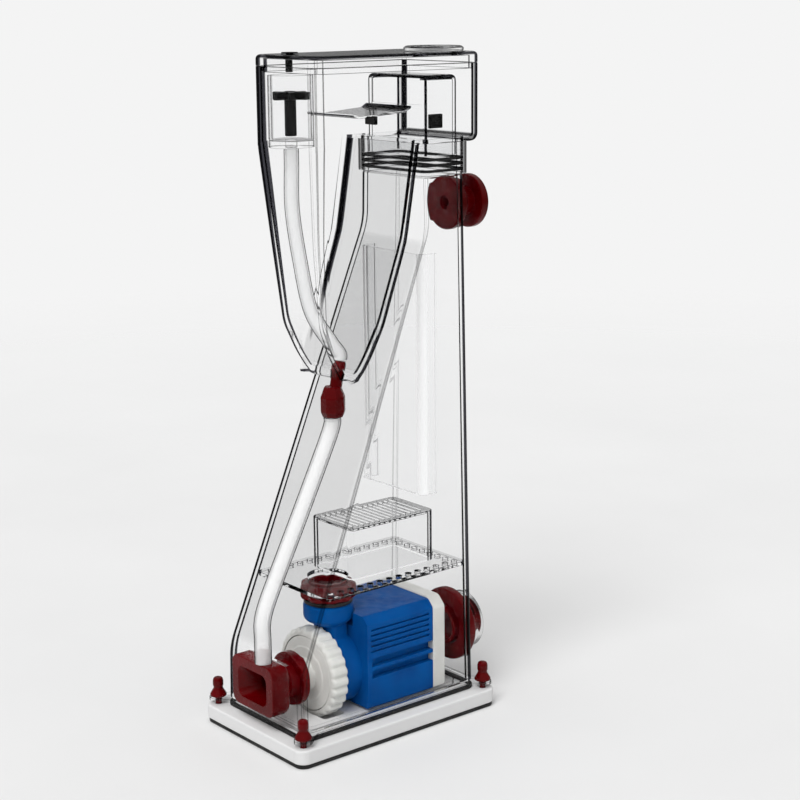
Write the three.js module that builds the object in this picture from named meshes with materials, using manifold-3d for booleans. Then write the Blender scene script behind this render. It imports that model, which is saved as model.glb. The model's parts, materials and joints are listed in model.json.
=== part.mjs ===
// Slim needle-wheel protein skimmer, in millimetres, +Z up, origin at the centre of the underside.
// X runs from the pump inlet (-X) to the water outlet (+X); Y runs across the body.
import * as THREE from 'three';
import { mergeVertices } from 'three/addons/utils/BufferGeometryUtils.js';
import Module from 'manifold-3d';

const wasm = await Module();
wasm.setup();

// ---- driving dimensions -------------------------------------------------------------------
const GAP = 0.3; // clearance between pieces that rest on each other

const PLATE = { length: 207, width: 136, radius: 9, bottom: 3.3, top: 15.3 };
const MAT = { length: 205, width: 134, radius: 8.5, top: 3 };
const GASKET = { bottom: 15.6, top: 18.4 };
const FLANGE = { bottom: 18.7, top: 21.7 };
const SCREW = { x: 94.5, y: 59, earRadius: 7.5, holeRadius: 3, studRadius: 2.5 };

const BODY = {
  front: -90, back: 91, bottom: 22, wall: 4,
  slopeStart: 68, slope: 0.41, neckFront: 48.6, shellTop: 447.7,
  halfWidth: 55, taper: 0.0305, cornerRadius: 10, neckRadius: 7,
};
const COLLAR = { bottom: 448, top: 478, half: 41.3, grooveDepth: 1.4, grooveWidth: 2.8 };
const O_RING_HEIGHTS = [452.5, 457, 461.5];

const AXIS_Z = 47; // height of the pump's shaft
const OUTLET_X = -23; // the pump's upward outlet
const MOTOR = { front: -13, back: 57, half: 38, bottom: 17.8, top: 96 };
const RING = { front: -47, back: -31, outer: 37.5, inner: 31.6, lobes: 26 };
const PLATE_Z = { bottom: 123, top: 126.5 }; // perforated bubble plate

const BELL = {
  mouthX: -101, straightX: -86, roundX: -72, backX: -66.3, z: 50, width: 56, height: 42, wall: 7.5,
};
const AIR_Y = -9; // the air line runs a little to the near side
const AIR_X = -95.7;

const REAR_Y = -15; // both rear fittings sit off centre
const DRAIN_Z = 61;
const LEVEL_Z = 423;
const CHANNEL = { front: 46, back: 62, half: 39, wall: 3, radius: 8, bottom: 188, top: 387 };

const CUP = {
  floor: 475, floorTop: 478, wallTop: 536, wall: 3, front: -57, back: 103, frontHalf: 44, half: 48,
};
const LID = { bottom: 536.3, inside: 541.6, top: 544.8, capX: 78, capY: -18, capRadius: 24 };
const SILENCER = { x: -34, y: 22, outer: 17.5, inner: 15.2, bottom: 476.3, top: 529 };

// ---- materials ----------------------------------------------------------------------------
function finish(color, roughness, metalness = 0, opacity = 1) {
  return new THREE.MeshStandardMaterial({
    color, roughness, metalness, opacity, transparent: opacity < 1,
  });
}
const CLEAR = () => finish(0xdde4e8, 0.05, 0, 0.25);
const RED = () => finish(0x7c0410, 0.3);
const BLUE = () => finish(0x0a66b4, 0.4);
const IVORY = () => finish(0xd8d6cc, 0.5);
const WHITE = () => finish(0xececec, 0.35);
const BLACK = () => finish(0x141414, 0.6);
const STEEL = () => finish(0xb8bcc0, 0.3, 0.9);

// ---- solids -------------------------------------------------------------------------------
function solidOf(geometry) {
  const bare = geometry.clone();
  bare.deleteAttribute('normal');
  bare.deleteAttribute('uv');
  const merged = mergeVertices(bare, 1e-4);
  return new wasm.Manifold(new wasm.Mesh({
    numProp: 3,
    vertProperties: new Float32Array(merged.attributes.position.array),
    triVerts: new Uint32Array(merged.index.array),
  }));
}

function geometryOf(solid) {
  const { vertProperties, triVerts } = solid.getMesh();
  const geometry = new THREE.BufferGeometry();
  geometry.setAttribute('position', new THREE.BufferAttribute(new Float32Array(vertProperties), 3));
  geometry.setIndex(new THREE.BufferAttribute(new Uint32Array(triVerts), 1));
  geometry.computeVertexNormals();
  return geometry;
}

function cut(base, ...tools) {
  return geometryOf(tools.reduce((solid, tool) => solid.subtract(solidOf(tool)), solidOf(base)));
}

function join(base, ...others) {
  return geometryOf(others.reduce((solid, other) => solid.add(solidOf(other)), solidOf(base)));
}

function common(a, b) {
  return geometryOf(solidOf(a).intersect(solidOf(b)));
}

// A box between two corners.
function block(x0, x1, y0, y1, z0, z1) {
  const geometry = new THREE.BoxGeometry(x1 - x0, y1 - y0, z1 - z0);
  return geometry.translate((x0 + x1) / 2, (y0 + y1) / 2, (z0 + z1) / 2);
}

// Turned piece: profile of [radius, height] pairs about +Z.
function turned(profile, segments = 24) {
  const points = profile.map(([radius, height]) => new THREE.Vector2(radius, height));
  return new THREE.LatheGeometry(points, segments).rotateX(Math.PI / 2);
}

// The same piece turned about +X, its heights measured along X.
function turnedAlongX(profile, segments = 24) {
  return turned(profile, segments).rotateY(Math.PI / 2);
}

function rod(radius, z0, z1, segments = 24) {
  return turned([[0, z0], [radius, z0], [radius, z1], [0, z1]], segments);
}

function rodAlongX(radius, x0, x1, segments = 24) {
  return rod(radius, x0, x1, segments).rotateY(Math.PI / 2);
}

function pipe(outer, inner, z0, z1, segments = 24) {
  return turned([[inner, z0], [outer, z0], [outer, z1], [inner, z1], [inner, z0]], segments);
}

function pipeAlongX(outer, inner, x0, x1, segments = 24) {
  return pipe(outer, inner, x0, x1, segments).rotateY(Math.PI / 2);
}

// Outline with straight sides and rounded corners, wider at the back than at the front.
function planform(front, frontHalf, frontRadius, back, backHalf, backRadius, steps = 4) {
  const corners = [
    [back - backRadius, backHalf - backRadius, backRadius, 0],
    [front + frontRadius, frontHalf - frontRadius, frontRadius, 1],
    [front + frontRadius, frontRadius - frontHalf, frontRadius, 2],
    [back - backRadius, backRadius - backHalf, backRadius, 3],
  ];
  const points = [];
  for (const [x, y, radius, quarter] of corners) {
    for (let i = 0; i <= steps; i += 1) {
      const angle = (quarter + i / steps) * Math.PI / 2;
      points.push(new THREE.Vector2(x + radius * Math.cos(angle), y + radius * Math.sin(angle)));
    }
  }
  return points;
}

function rectangle(x0, x1, y0, y1, radius, steps = 4) {
  const middle = (y0 + y1) / 2;
  const half = (y1 - y0) / 2;
  const points = planform(x0, half, radius, x1, half, radius, steps);
  return points.map((point) => new THREE.Vector2(point.x, point.y + middle));
}

function prism(outline, z0, z1, holes = []) {
  const shape = new THREE.Shape(outline);
  holes.forEach((hole) => shape.holes.push(new THREE.Path(hole)));
  const geometry = new THREE.ExtrudeGeometry(shape, { depth: z1 - z0, bevelEnabled: false });
  return geometry.translate(0, 0, z0);
}

// Closed skin through a stack of outlines [{ outline, z }], all with the same number of points.
function loft(levels) {
  const count = levels[0].outline.length;
  const positions = [];
  levels.forEach(({ outline, z }) => outline.forEach((point) => positions.push(point.x, point.y, z)));
  const index = [];
  for (let level = 0; level < levels.length - 1; level += 1) {
    for (let i = 0; i < count; i += 1) {
      const a = level * count + i;
      const b = level * count + ((i + 1) % count);
      index.push(a, b, b + count, a, b + count, a + count);
    }
  }
  const top = (levels.length - 1) * count;
  THREE.ShapeUtils.triangulateShape(levels[0].outline, []).forEach(([a, b, c]) => index.push(a, c, b));
  THREE.ShapeUtils.triangulateShape(levels[levels.length - 1].outline, [])
    .forEach(([a, b, c]) => index.push(top + a, top + b, top + c));
  const geometry = new THREE.BufferGeometry();
  geometry.setAttribute('position', new THREE.BufferAttribute(new Float32Array(positions), 3));
  geometry.setIndex(index);
  geometry.computeVertexNormals();
  return geometry;
}

// Bent pipe along a smooth curve; a zero inner radius makes it solid.
function bentPipe(points, outer, inner, steps) {
  const curve = new THREE.CatmullRomCurve3(points.map((point) => new THREE.Vector3(...point)));
  const shape = new THREE.Shape().absarc(0, 0, outer, 0, Math.PI * 2);
  if (inner > 0) {
    shape.holes.push(new THREE.Path().absarc(0, 0, inner, 0, Math.PI * 2, true));
  }
  return new THREE.ExtrudeGeometry(shape, { steps, curveSegments: 5, extrudePath: curve });
}

const skimmer = new THREE.Group();

function add(name, geometry, material, parent = skimmer) {
  const mesh = new THREE.Mesh(geometry, material);
  mesh.name = name;
  parent.add(mesh);
  return mesh;
}

// ---- base: mat, plate, gasket, flange, thumb screws -----------------------------------------
const screwPlaces = [[-1, -1], [1, -1], [1, 1], [-1, 1]].map(([sx, sy]) => [sx * SCREW.x, sy * SCREW.y]);

const footInside = rectangle(-78, 79, -43, 43, 6);

function screwHoles(z0, z1) {
  return screwPlaces.map(([x, y]) => rod(SCREW.holeRadius, z0, z1, 10).translate(x, y, 0));
}

function footOutline(margin) {
  return rectangle(BODY.front - margin, BODY.back + margin, -BODY.halfWidth - margin,
    BODY.halfWidth + margin, BODY.cornerRadius + margin);
}

function bodyFlange() {
  const { bottom, top } = FLANGE;
  const ears = screwPlaces.flatMap(([x, y]) => [1, 0.92].map(
    (reach) => rod(SCREW.earRadius, bottom, top, 16).translate(x * reach, y * reach, 0),
  ));
  const ring = join(prism(footOutline(2.2), bottom, top), ...ears);
  return cut(ring, prism(footInside, bottom - 1, top + 1), ...screwHoles(bottom - 1, top + 1));
}

function centred({ length, width, radius }, inset) {
  const halfLength = length / 2 - inset;
  const halfWidth = width / 2 - inset;
  return rectangle(-halfLength, halfLength, -halfWidth, halfWidth, radius - inset);
}

function basePlate() {
  const chamfer = 1.5;
  const { bottom, top } = PLATE;
  const level = (inset, z) => ({ z, outline: centred(PLATE, inset) });
  const lower = [level(chamfer, bottom), level(0, bottom + chamfer)];
  const upper = [level(0, top - chamfer), level(chamfer, top)];
  const ringPocket = prism(rectangle(RING.front - 2.5, RING.back + 2.5, -27, 27, 3), 8.3, top + 1);
  return cut(loft([...lower, ...upper]), ringPocket, ...screwHoles(7, top + 1));
}

function thumbScrew() {
  const { top } = FLANGE;
  return turned([
    [0, 8], [SCREW.studRadius, 8], [SCREW.studRadius, top + GAP], [6.6, top + GAP], [7, top + 1.8],
    [5, top + 6], [4, top + 7.5], [4.4, top + 9.5], [4.4, top + 14], [3.2, top + 16], [0, top + 16.6],
  ], 14);
}

add('foot_mat', prism(centred(MAT, 0), 0, MAT.top), BLACK());
add('base_plate', basePlate(), WHITE());
add('base_gasket', prism(footOutline(0.5), GASKET.bottom, GASKET.top, [footInside]), BLACK());
add('body_flange', bodyFlange(), CLEAR());
screwPlaces.forEach(([x, y], i) => add(`thumb_screw_${i + 1}`, thumbScrew(), RED()).position.set(x, y, 0));

// ---- body: four bonded acrylic panels -------------------------------------------------------
const neckStart = BODY.slopeStart + (BODY.neckFront - BODY.front) / BODY.slope;
const bodyHalf = (z) => BODY.halfWidth - (z - PLATE.top) * BODY.taper;

function bodyFront(z) {
  return Math.min(Math.max(BODY.front, BODY.front + (z - BODY.slopeStart) * BODY.slope), BODY.neckFront);
}

function bodyLevel(z, inset) {
  const radius = z > BODY.slopeStart + 1 ? BODY.neckRadius : BODY.cornerRadius;
  const half = bodyHalf(z) - inset;
  const slopeInset = z > BODY.slopeStart + 1 && z < neckStart - 1 ? inset * 1.08 : inset;
  const corner = radius - inset;
  return { z, outline: planform(bodyFront(z) + slopeInset, half, corner, BODY.back - inset, half, corner) };
}

function bodySkin(inset, z0, z1) {
  return loft([z0, BODY.slopeStart, neckStart, z1].map((z) => bodyLevel(z, inset)));
}

// The region within a given distance of the middle plane, following the taper of the sides.
function middleSlice(x0, x1, margin) {
  const half = (z) => bodyHalf(z) - margin;
  return loft([0, 500].map((z) => ({ z, outline: rectangle(x0, x1, -half(z), half(z), 0.01, 1) })));
}

const bodyShell = cut(bodySkin(0, BODY.bottom, BODY.shellTop),
  bodySkin(BODY.wall, BODY.bottom - 1, BODY.shellTop + 1));
const sideDepth = 11; // the side panels turn round the corners this far
const seam = sideDepth + GAP;
const bellOpening = block(BODY.front - 10, BODY.front + 20, -BELL.width / 2 - GAP, BELL.width / 2 + GAP,
  BELL.z - BELL.height / 2 - GAP, BELL.z + BELL.height / 2 + GAP);
const drainHole = rodAlongX(17.1, 80, 100).translate(0, REAR_Y, DRAIN_Z);
const levelHole = rodAlongX(5.5, 80, 100, 16).translate(0, REAR_Y, LEVEL_Z);
const glandHole = rodAlongX(5.2, 80, 100, 16).translate(0, 38, 40);

const sides = cut(bodyShell, middleSlice(-200, 200, sideDepth));
add('side_panel_near', common(sides, block(-200, 200, -200, 0, 0, 500)), CLEAR());
add('side_panel_far', common(sides, block(-200, 200, 0, 200, 0, 500)), CLEAR());
add('front_panel', cut(common(bodyShell, middleSlice(-200, 70, seam)), bellOpening), CLEAR());
add('back_panel', cut(common(bodyShell, middleSlice(70, 200, seam)), drainHole, levelHole, glandHole),
  CLEAR());

// ---- neck collar with its seals ---------------------------------------------------------------
function neckOutline(inset) {
  return rectangle(BODY.neckFront + inset, BODY.back + 0.4 - inset, inset - COLLAR.half, COLLAR.half - inset,
    Math.max(BODY.neckRadius - inset, 1));
}

function neckCollar() {
  const blank = prism(neckOutline(0), COLLAR.bottom, COLLAR.top, [neckOutline(BODY.wall)]);
  const half = COLLAR.grooveWidth / 2;
  const groove = [neckOutline(COLLAR.grooveDepth)];
  const grooves = O_RING_HEIGHTS.map((z) => prism(neckOutline(-5), z - half, z + half, groove));
  return cut(blank, ...grooves);
}

function neckSeal(z) {
  const half = COLLAR.grooveWidth / 2 - 0.25;
  const hole = neckOutline(COLLAR.grooveDepth - GAP);
  return prism(neckOutline(-0.8), z - half, z + half, [hole]);
}

add('neck_collar', neckCollar(), CLEAR());
O_RING_HEIGHTS.forEach((z, i) => add(`neck_o_ring_${i + 1}`, neckSeal(z), BLACK()));

// ---- inside the body: riser baffle, bubble plate, diffuser box, riser ---------------------------
// Sheet bent to a channel that is open towards the back.
function riserBaffle() {
  const { front, back, half, wall, radius, bottom, top } = CHANNEL;
  const outer = prism(rectangle(front, back + radius, -half, half, radius), bottom, top);
  const inside = rectangle(front + wall, back + 20, wall - half, half - wall, radius - wall);
  const openBack = block(back, back + 20, -half - 1, half + 1, bottom - 1, top + 1);
  return cut(outer, prism(inside, bottom - 1, top + 1), openBack);
}

function bubblePlate() {
  const { bottom, top } = PLATE_Z;
  const gap = BODY.wall + 0.6;
  const half = bodyHalf(top) - gap;
  const front = bodyFront(top) + BODY.wall + 1;
  const blank = prism(rectangle(front, BODY.back - gap, -half, half, 6), bottom, top);
  const pitch = 10;
  const hole = (x, y) => rod(2.6, bottom - 1, top + 1, 6).translate(x, y, 0);
  const holes = [];
  for (let i = 0; i < 14; i += 1) {
    holes.push(hole(front + 10 + i * pitch, 7 - half), hole(front + 10 + i * pitch, half - 7));
  }
  for (let i = -3; i <= 3; i += 1) {
    holes.push(hole(BODY.back - 13, i * pitch));
  }
  return cut(blank, rod(16.4, bottom - 1, top + 1).translate(OUTLET_X, 0, 0), ...holes);
}

function diffuserBox() {
  const bottom = PLATE_Z.top + GAP;
  const top = 170;
  const wall = 2.5;
  const shell = cut(prism(rectangle(-19, 69, -27, 27, 6), bottom, top),
    prism(rectangle(-19 + wall, 69 - wall, wall - 27, 27 - wall, 4), bottom - 1, top - wall));
  const slots = [];
  for (let x = -13; x <= 63; x += 5.5) {
    slots.push(block(x - 1.2, x + 1.2, -21, 21, top - wall - 1, top + 1));
  }
  return cut(shell, ...slots);
}

function foamRiser() {
  const outline = (inset) => rectangle(53 + inset, 87 - inset, inset - 36.9, 36.9 - inset, 4 - inset / 2);
  const shell = cut(prism(outline(0), 464, 527), prism(outline(2.5), 463, 524.5));
  return cut(shell, block(45, 60, -30, 30, 504, 524.5));
}

add('riser_baffle', riserBaffle(), CLEAR());
add('bubble_plate', bubblePlate(), CLEAR());
add('diffuser_box', diffuserBox(), CLEAR());
add('foam_riser', foamRiser(), CLEAR());
add('riser_clip_far', block(49.4, 52.6, 22, 35, 486, 497), BLACK());
add('riser_clip_near', block(55, 68, -40.3, -37.3, 486, 497), BLACK());

// ---- pump -------------------------------------------------------------------------------------
const pump = new THREE.Group();
pump.position.set(0, 0, AXIS_Z);
skimmer.add(pump);
const fromAxis = (z) => z - AXIS_Z;

// Block along X whose section has cut corners.
function motorBlock(x0, x1, half, z0, z1, chamfer) {
  const low = fromAxis(z0);
  const high = fromAxis(z1);
  const outline = [
    [-half, low], [half, low], [half, high - chamfer],
    [half - chamfer, high], [chamfer - half, high], [-half, high - chamfer],
  ].map(([y, z]) => new THREE.Vector2(z, y));
  return prism(outline, -x1, -x0).rotateY(-Math.PI / 2);
}

function motorHousing() {
  const { front, back, half, bottom, top } = MOTOR;
  const grooves = [];
  for (const side of [-1, 1]) {
    for (let i = 0; i < 4; i += 1) {
      const z = fromAxis(69) + i * 5;
      grooves.push(block(front + 5, back - 5, side * half - 2.2, side * half + 2.2, z - 0.9, z + 0.9));
    }
    grooves.push(block(front + 5, back - 6, side * half - 6, side * half + 6, fromAxis(43), fromAxis(60)));
  }
  const rotorBore = rodAlongX(17, front - 1, 40);
  const collarRoom = rod(21.2, fromAxis(84.6), fromAxis(top) + 1).translate(OUTLET_X, 0, 0);
  return cut(motorBlock(front, back, half, bottom, top, 6), rotorBore, collarRoom, ...grooves);
}

function volute() {
  const chamber = rodAlongX(31, -42, MOTOR.front - GAP);
  const neck = rod(7.7, 20, fromAxis(86)).translate(OUTLET_X, 0, 0);
  const web = block(RING.back + GAP, MOTOR.front - GAP, -15, 15, 20, fromAxis(86));
  const collar = rod(20.5, fromAxis(85.2), fromAxis(104)).translate(OUTLET_X, 0, 0);
  const room = rodAlongX(27, -43, -18);
  const throat = rodAlongX(14.5, -20, MOTOR.front + 1);
  const bore = rod(6, 10, fromAxis(105), 24).translate(OUTLET_X, 0, 0);
  const mouth = rod(13, fromAxis(90), fromAxis(105)).translate(OUTLET_X, 0, 0);
  return cut(join(chamber, neck, web, collar), room, throat, bore, mouth);
}

// Ring with a wavy rim for the fingers.
function lobedRing(outer, depth, lobes, inner, z0, z1, perLobe = 6) {
  const rim = [];
  for (let i = 0; i < lobes * perLobe; i += 1) {
    const angle = i / (lobes * perLobe) * Math.PI * 2;
    const radius = outer - depth * (0.5 - 0.5 * Math.cos(angle * lobes)) ** 2;
    rim.push(new THREE.Vector2(radius * Math.cos(angle), radius * Math.sin(angle)));
  }
  const hole = new THREE.Path().absarc(0, 0, inner, 0, Math.PI * 2).getPoints(16);
  return prism(rim, z0, z1, [hole.slice(0, -1)]);
}

function impeller() {
  const disc = turnedAlongX([
    [2.15, -24], [26, -24], [26, -21.5], [7, -21.5], [7, -14.8], [2.15, -14.8], [2.15, -24],
  ]);
  const pins = [];
  for (let i = 0; i < 10; i += 1) {
    for (const radius of [14, 22]) {
      const pin = rodAlongX(1.3, -37, -23.5, 5).translate(0, radius, 0);
      pins.push(pin.rotateX(i / 10 * Math.PI * 2 + radius / 50));
    }
  }
  return join(disc, ...pins);
}

function boreDisc(x0, x1, outer) {
  return pipeAlongX(outer, 2.15, x0, x1, 20);
}

add('motor_housing', motorHousing(), BLUE(), pump);
const capBack = MOTOR.back + 13;
add('motor_end_cap', motorBlock(MOTOR.back + GAP, capBack, MOTOR.half + 0.5, MOTOR.bottom, MOTOR.top + 1, 8),
  IVORY(), pump);
const padTop = fromAxis(MOTOR.bottom - GAP);
add('motor_pads', block(MOTOR.front + 6, MOTOR.back - 6, -32, 32, fromAxis(PLATE.top + GAP), padTop),
  BLACK(), pump);
add('pump_volute', volute(), BLUE(), pump);
const clampRing = lobedRing(RING.outer, 2, RING.lobes, RING.inner, RING.front, RING.back, 4);
add('volute_ring', clampRing.rotateY(Math.PI / 2), IVORY(), pump);
add('volute_seal', pipeAlongX(30.5, 27.5, -43.4, -42.3), BLACK(), pump);
add('volute_cover', turnedAlongX([
  [10, -57.7], [14, -57.7], [14, -48], [31, -46.8], [31, -43.7], [10, -43.7], [10, -57.7],
]), IVORY(), pump);
add('impeller', impeller(), IVORY(), pump);
add('rotor_magnet', boreDisc(-7, 33, 14), BLACK(), pump);
add('rotor_shaft', rodAlongX(2, -36, 38.5, 16), STEEL(), pump);
add('front_bush', boreDisc(-12.4, -8.4, 16.7), BLACK(), pump);
add('rear_bush', boreDisc(35, 39.4, 16.7), BLACK(), pump);
add('union_seal', pipe(20, 16.4, fromAxis(104.3), fromAxis(107.3)).translate(OUTLET_X, 0, 0), BLACK(), pump);
const unionNut = lobedRing(23, 2.6, 9, 16.2, fromAxis(107.6), fromAxis(119.5), 8);
add('union_nut', unionNut.translate(OUTLET_X, 0, 0), RED(), pump);
const nozzle = pipe(15.7, 12.5, fromAxis(104.6), fromAxis(121.4));
add('outlet_nozzle', nozzle.translate(OUTLET_X, 0, 0), RED(), pump);

// ---- inlet ------------------------------------------------------------------------------------
// Square bell mouth that narrows to the round suction pipe; lofted along Z, then laid along -X.
function bellSkin(inset, boreRadius, mouthX, backX) {
  const rise = BELL.z - AXIS_Z;
  const mouth = (x, shrink) => ({
    z: x,
    outline: rectangle(-BELL.height / 2 - rise + shrink, BELL.height / 2 - rise - shrink,
      shrink - BELL.width / 2, BELL.width / 2 - shrink, 8 - shrink / 4, 6),
  });
  const round = (x, radius) => ({
    z: x,
    outline: rectangle(-radius, radius, -radius, radius, radius - 0.01, 6),
  });
  return {
    mouth: mouth(mouthX, inset),
    straight: mouth(BELL.straightX, inset),
    round: round(BELL.roundX, boreRadius),
    back: round(backX, boreRadius),
  };
}

function inletBell() {
  const outer = bellSkin(0, 16, BELL.mouthX, BELL.backX);
  const hull = loft([outer.mouth, outer.straight, outer.round, outer.back]).rotateY(Math.PI / 2);
  const inner = bellSkin(BELL.wall, 10, BELL.mouthX - 1, BELL.backX + 1);
  const drop = AXIS_Z - BELL.z;
  const throat = { z: -88, outline: rectangle(drop - 11, drop + 11, -11, 11, 10.9, 6) };
  const funnel = loft([inner.mouth, throat, inner.round, inner.back]).rotateY(Math.PI / 2);
  const spigotFoot = BELL.z + BELL.height / 2 - AXIS_Z - 3;
  const spigot = rod(5, spigotFoot, spigotFoot + 13, 20).translate(AIR_X, AIR_Y, 0);
  const airBore = rod(2.6, 5, spigotFoot + 14, 12).translate(AIR_X, AIR_Y, 0);
  return cut(join(hull, spigot), funnel, airBore);
}

add('inlet_bell', inletBell(), RED(), pump);
add('inlet_flange', pipeAlongX(22, 10, -66, -58), RED(), pump);

// ---- air line ---------------------------------------------------------------------------------
const bellTop = BELL.z + BELL.height / 2;
add('lower_air_tube', bentPipe([
  [-22.5, AIR_Y, 260.5], [-22.6, AIR_Y, 255], [-29, AIR_Y, 240], [-54.5, AIR_Y, 190],
  [-80, AIR_Y, 141], [-91.5, AIR_Y, 118], [AIR_X, AIR_Y, 104], [AIR_X, AIR_Y, 90],
  [AIR_X, AIR_Y, bellTop + GAP],
], 7, 5.3, 24), CLEAR());

// ---- collection cup ---------------------------------------------------------------------------
// The vessel is a hopper: wide across the back, narrow across the front, closing to a keel.
const VESSEL_LEVELS = [
  { z: 291, front: -20, frontHalf: 22, frontRadius: 3, back: -12, backHalf: 34, backRadius: 2 },
  { z: 297, front: -25, frontHalf: 24, frontRadius: 4, back: -8.5, backHalf: 38, backRadius: 3 },
  { z: 312, front: -34, frontHalf: 26, frontRadius: 6, back: -3, backHalf: 43, backRadius: 4 },
  { z: 335, front: -44, frontHalf: 29, frontRadius: 7, back: 7.5, backHalf: 45.5, backRadius: 5 },
  { z: 400, front: -50.5, frontHalf: 35, frontRadius: 9, back: 31, backHalf: 46.5, backRadius: 5 },
  { z: CUP.floor - GAP, front: -57, frontHalf: 44, frontRadius: 13, back: 44, backHalf: 46.5, backRadius: 5 },
];

function vesselOutline(level, inset) {
  return planform(level.front + inset, level.frontHalf - inset, level.frontRadius - inset / 2,
    level.back - inset, level.backHalf - inset, level.backRadius - inset / 2);
}

function collectionVessel() {
  const outer = loft(VESSEL_LEVELS.map((level) => ({ z: level.z, outline: vesselOutline(level, 0) })));
  const inset = 2.6;
  const last = VESSEL_LEVELS.length - 1;
  const inner = loft(VESSEL_LEVELS.slice(1).map((level, i) => ({
    z: i + 1 === last ? level.z + 1 : level.z, outline: vesselOutline(level, inset),
  })));
  return cut(outer, inner, spigotRod(5.4, -20, 10));
}

// The slanted spigot that carries air through the floor of the vessel.
function spigotRod(radius, start, end) {
  return rod(radius, start, end, 20).rotateY(0.18).translate(-16.6, AIR_Y, 294);
}

function cupOutline(inset) {
  return planform(CUP.front + inset, CUP.frontHalf - inset, 13 - inset,
    CUP.back - inset, CUP.half - inset, 6 - inset / 2);
}

const vesselTop = VESSEL_LEVELS[VESSEL_LEVELS.length - 1];

function cupSocket() {
  return prism(neckOutline(-3.6), COLLAR.bottom + 1, CUP.floor - GAP, [neckOutline(-1.1)]);
}

add('collection_vessel', collectionVessel(), CLEAR());
add('cup_floor', prism(cupOutline(0), CUP.floor, CUP.floorTop,
  [vesselOutline(vesselTop, 2.6), neckOutline(-1.1)]), CLEAR());
add('cup_wall', prism(cupOutline(0), CUP.floorTop + GAP, CUP.wallTop, [cupOutline(CUP.wall)]), CLEAR());
add('cup_socket', cupSocket(), CLEAR());

function foamRamp() {
  const outline = [[-12, 500], [-6, 496], [40, 499], [46, 502], [46, 504], [40, 501.5], [-5, 499]];
  const shape = outline.map(([x, z]) => new THREE.Vector2(x, z));
  return prism(shape, -28, 28).rotateX(Math.PI / 2);
}

add('foam_ramp', foamRamp(), CLEAR());

// ---- silencer and upper air line -----------------------------------------------------------------
function silencerCore() {
  const arms = [0, 1, 2].map((i) => block(-14, 14, -2.4, 2.4, 510, 516).rotateZ(i * Math.PI / 3));
  return join(rod(4.6, 482, 516.5, 16), ...arms);
}

const silencer = new THREE.Group();
silencer.position.set(SILENCER.x, SILENCER.y, 0);
skimmer.add(silencer);
const chamberFoot = SILENCER.bottom + 3;
add('silencer_chamber', pipe(SILENCER.outer, SILENCER.inner, chamberFoot, SILENCER.top), CLEAR(), silencer);
add('silencer_base', pipe(SILENCER.outer, 4.5, SILENCER.bottom - 3, chamberFoot - GAP), CLEAR(), silencer);
add('silencer_core', silencerCore(), BLACK(), silencer);
add('upper_air_tube', bentPipe([
  [SILENCER.x, SILENCER.y, SILENCER.bottom - 3.3], [SILENCER.x, SILENCER.y, 460], [-35, 21, 425],
  [-33, 15, 385], [-29, 7, 345], [-20, -5, 321], [-14.6, AIR_Y, 311], [-14.4, AIR_Y, 306.8],
], 6, 4.4, 20), CLEAR());

function airElbow() {
  const knuckle = turned([[0, 260.9], [8.5, 260.9], [10.3, 265], [10.3, 277], [7, 285.5], [0, 285.5]], 8)
    .rotateZ(Math.PI / 8).translate(-21.5, AIR_Y, 0);
  const lowerBore = rod(3, 255, 275, 12).translate(-22.3, AIR_Y, 0);
  return cut(join(knuckle, spigotRod(4.9, -16, 11.3)), lowerBore, spigotRod(3, -22, 13));
}

add('air_elbow', airElbow(), RED());

// ---- lid ----------------------------------------------------------------------------------------
const { capX, capY, capRadius } = LID;

// A shallow tray turned upside down, with a lip that drops inside the cup's wall.
function lid() {
  const tray = cut(prism(cupOutline(0), LID.bottom, LID.top),
    prism(cupOutline(CUP.wall), LID.bottom - 1, LID.inside));
  const lip = prism(cupOutline(CUP.wall + 0.5), LID.bottom - 5, LID.inside + 0.5, [cupOutline(CUP.wall + 3)]);
  const capHole = rod(capRadius - 5, 520, 560).translate(capX, capY, 0);
  const valveHole = rod(3.3, 520, 560, 16).translate(SILENCER.x, SILENCER.y, 0);
  return cut(join(tray, lip), capHole, valveHole);
}

add('lid', lid(), CLEAR());
add('lid_cap', turned([
  [0, LID.inside], [capRadius - 5.4, LID.inside], [capRadius - 5.4, LID.top + GAP],
  [capRadius, LID.top + GAP], [capRadius, LID.top + 2.6], [capRadius - 2, LID.top + 4.2], [0, LID.top + 4.2],
], 28).translate(capX, capY, 0), CLEAR());
add('air_valve_knob', turned([
  [0, 531], [2.8, 531], [2.8, LID.top + GAP], [6.5, LID.top + GAP], [6.5, LID.top + 1.4], [0, LID.top + 1.4],
], 16).translate(SILENCER.x, SILENCER.y, 0), BLACK());

// ---- rear fittings --------------------------------------------------------------------------------
// Rotary valve: the knob's hollow plug turns in the flange and lines its side port up with the flange's.
const levelGroup = new THREE.Group();
levelGroup.position.set(0, REAR_Y, LEVEL_Z);
skimmer.add(levelGroup);

function levelFlange() {
  const disc = turnedAlongX([
    [5.5, 91.3], [21, 91.3], [22, 92.3], [22, 97], [21, 98], [12, 98], [11, 106], [5.5, 106], [5.5, 91.3],
  ]);
  return cut(disc, rod(2, -20, 0, 12).translate(102, 0, 0));
}

function levelKnob() {
  const body = turnedAlongX([
    [0, 93], [5.1, 93], [5.1, 106.4], [12, 106.4], [12, 114], [21, 114], [22, 115], [22, 120],
    [21, 121], [0, 121],
  ]);
  return cut(body, rodAlongX(4, 92, 108, 16), rod(2, -20, 0, 12).translate(102, 0, 0));
}

add('level_flange', levelFlange(), RED(), levelGroup);
add('level_knob', levelKnob(), RED(), levelGroup);

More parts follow.
